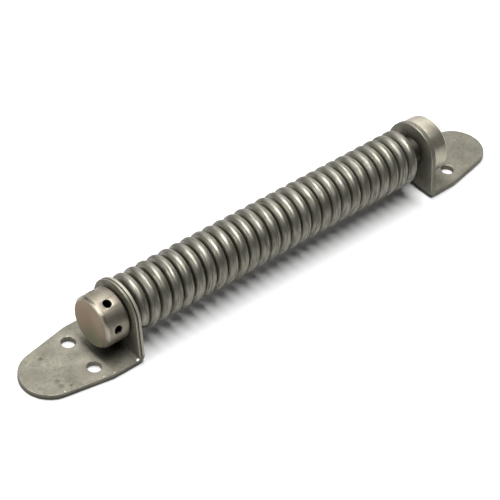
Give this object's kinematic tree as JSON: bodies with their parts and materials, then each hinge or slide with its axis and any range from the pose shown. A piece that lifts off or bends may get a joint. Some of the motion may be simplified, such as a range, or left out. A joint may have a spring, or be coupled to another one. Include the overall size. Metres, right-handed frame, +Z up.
{
  "type": "gate spring",
  "caption": "Torsion spring for closing a gate: a close coil of round wire between two folded screw-on brackets, wound up by a drilled collar at one end.",
  "frame": {"origin": "middle of the underside of the two leaves, halfway along the part", "axes": "+X along the spring axis from the drilled collar to the plain boss, +Z up from the leaves"},
  "size_m": [0.2, 0.0254, 0.0237],
  "materials": {
    "near_bracket": "tumbled dull steel",
    "far_bracket": "tumbled dull steel",
    "tension_collar": "satin turned steel",
    "fixed_boss": "satin turned steel",
    "spindle": "drawn steel",
    "torsion_spring": "drawn spring steel wire"
  },
  "bodies": {
    "fixed_end": {"far_bracket": "far_bracket", "fixed_boss": "fixed_boss", "spindle": "spindle", "torsion_spring": "torsion_spring"},
    "winding_collar": {"tension_collar": "tension_collar"},
    "swivel_bracket": {"near_bracket": "near_bracket"}
  },
  "joints": [
    {"name": "collar_wind", "type": "hinge", "parent": "fixed_end", "child": "winding_collar", "pos_m": [-0.065, 0, 0.0132], "axis": [1, 0, 0], "range_deg": [0, 150], "stiffness_Nm_per_rad": 1.84, "deforming": ["torsion_spring"]},
    {"name": "near_swivel", "type": "hinge", "parent": "fixed_end", "child": "swivel_bracket", "pos_m": [-0.065, 0, 0.0132], "axis": [1, 0, 0], "continuous": true}
  ]
}
